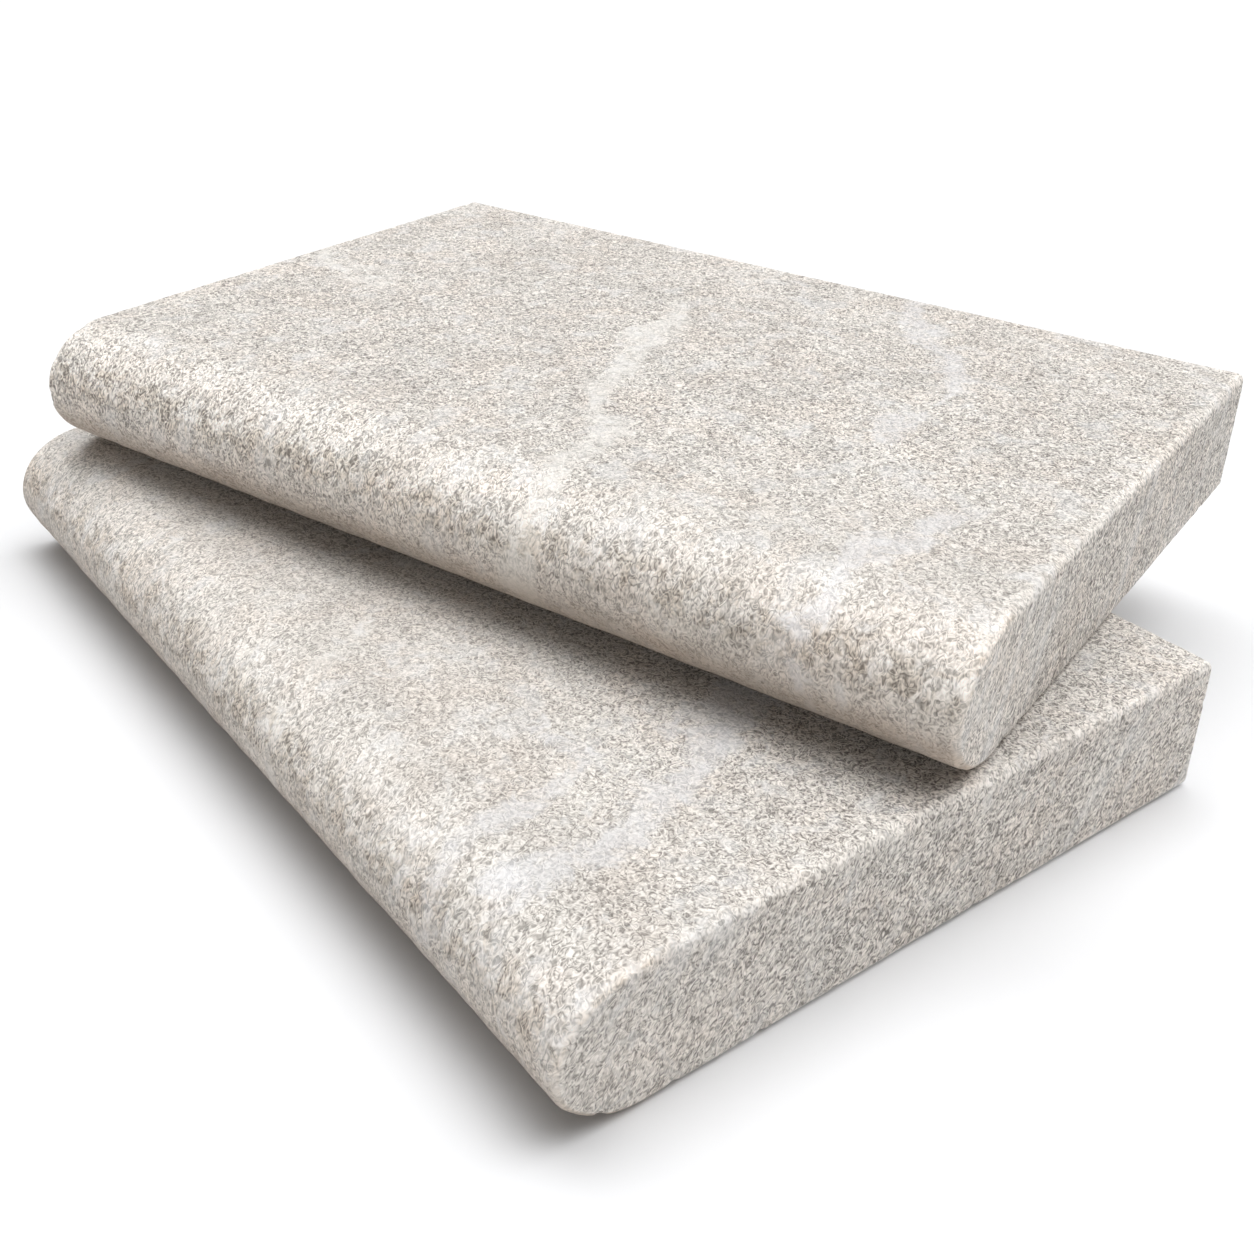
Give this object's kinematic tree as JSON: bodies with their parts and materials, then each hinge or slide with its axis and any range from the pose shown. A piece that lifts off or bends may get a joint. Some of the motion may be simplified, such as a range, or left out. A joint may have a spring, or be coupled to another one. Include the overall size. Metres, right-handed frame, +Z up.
{
  "type": "granite slab",
  "caption": "Flat rectangular granite slabs, one long edge worked to a rounded nose, stacked loose with the upper one turned and lifting off.",
  "frame": {"origin": "middle of the lower slab's underside, on the surface it stands on", "axes": "+X along the lower slab's length, +Y from its rounded nose to its square back edge, +Z up"},
  "size_m": [0.3512, 0.2946, 0.0763],
  "materials": {
    "lower_stone": "matt, fine-grained, sandblasted",
    "upper_stone": "matt, fine-grained, sandblasted"
  },
  "bodies": {
    "lower": {"lower_slab": "lower_stone"},
    "upper": {"upper_slab": "upper_stone"}
  },
  "joints": [
    {"name": "upper_slab_lift", "type": "slide", "parent": "lower", "child": "upper", "axis": [0, 0, 1], "range_m": [0, 0.12]}
  ]
}
